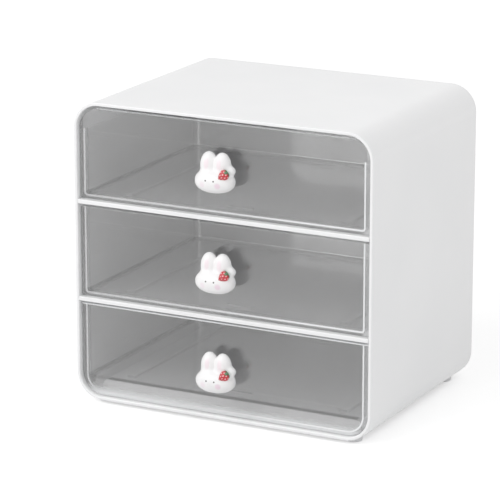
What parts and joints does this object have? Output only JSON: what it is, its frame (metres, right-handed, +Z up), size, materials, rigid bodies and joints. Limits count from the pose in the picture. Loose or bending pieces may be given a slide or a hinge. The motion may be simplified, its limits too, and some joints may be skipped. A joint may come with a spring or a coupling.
{
  "type": "desktop drawer organizer",
  "caption": "Desktop organizer: a rounded white shell with clear pull-out drawers one above another, each with a white rabbit-head knob.",
  "frame": {"origin": "on the table, under the middle of the overall width and depth, knobs included", "axes": "+X to the right seen from the front, +Y to the back, +Z up; the drawers open towards -Y"},
  "size_m": [0.24, 0.1962, 0.2275],
  "materials": {
    "shell_white": "satin gloss white",
    "foot_soft": "soft white",
    "tray_clear": "clear smoky gloss",
    "knob_white": "smooth satin white",
    "berry_red": "satin red",
    "leaf_green": "satin green",
    "insert_brass": "turned brass",
    "fixing_steel": "plated steel"
  },
  "bodies": {
    "cabinet": {"shell": "shell_white", "back_panel": "shell_white", "lower_shelf": "shell_white", "upper_shelf": "shell_white", "floor_deck": "shell_white", "foot_front_left": "foot_soft", "foot_front_right": "foot_soft", "foot_rear_left": "foot_soft", "foot_rear_right": "foot_soft"},
    "bottom_drawer": {"bottom_tray": "tray_clear", "bottom_knob": "knob_white", "bottom_berry": "berry_red", "bottom_leaf": "leaf_green", "bottom_knob_insert": "insert_brass", "bottom_knob_washer": "fixing_steel", "bottom_knob_screw": "fixing_steel"},
    "middle_drawer": {"middle_tray": "tray_clear", "middle_knob": "knob_white", "middle_berry": "berry_red", "middle_leaf": "leaf_green", "middle_knob_insert": "insert_brass", "middle_knob_washer": "fixing_steel", "middle_knob_screw": "fixing_steel"},
    "top_drawer": {"top_tray": "tray_clear", "top_knob": "knob_white", "top_berry": "berry_red", "top_leaf": "leaf_green", "top_knob_insert": "insert_brass", "top_knob_washer": "fixing_steel", "top_knob_screw": "fixing_steel"}
  },
  "joints": [
    {"name": "bottom_drawer_slide", "type": "slide", "parent": "cabinet", "child": "bottom_drawer", "axis": [0, -1, 0], "range_m": [0, 0.13]},
    {"name": "middle_drawer_slide", "type": "slide", "parent": "cabinet", "child": "middle_drawer", "axis": [0, -1, 0], "range_m": [0, 0.13]},
    {"name": "top_drawer_slide", "type": "slide", "parent": "cabinet", "child": "top_drawer", "axis": [0, -1, 0], "range_m": [0, 0.13]}
  ]
}
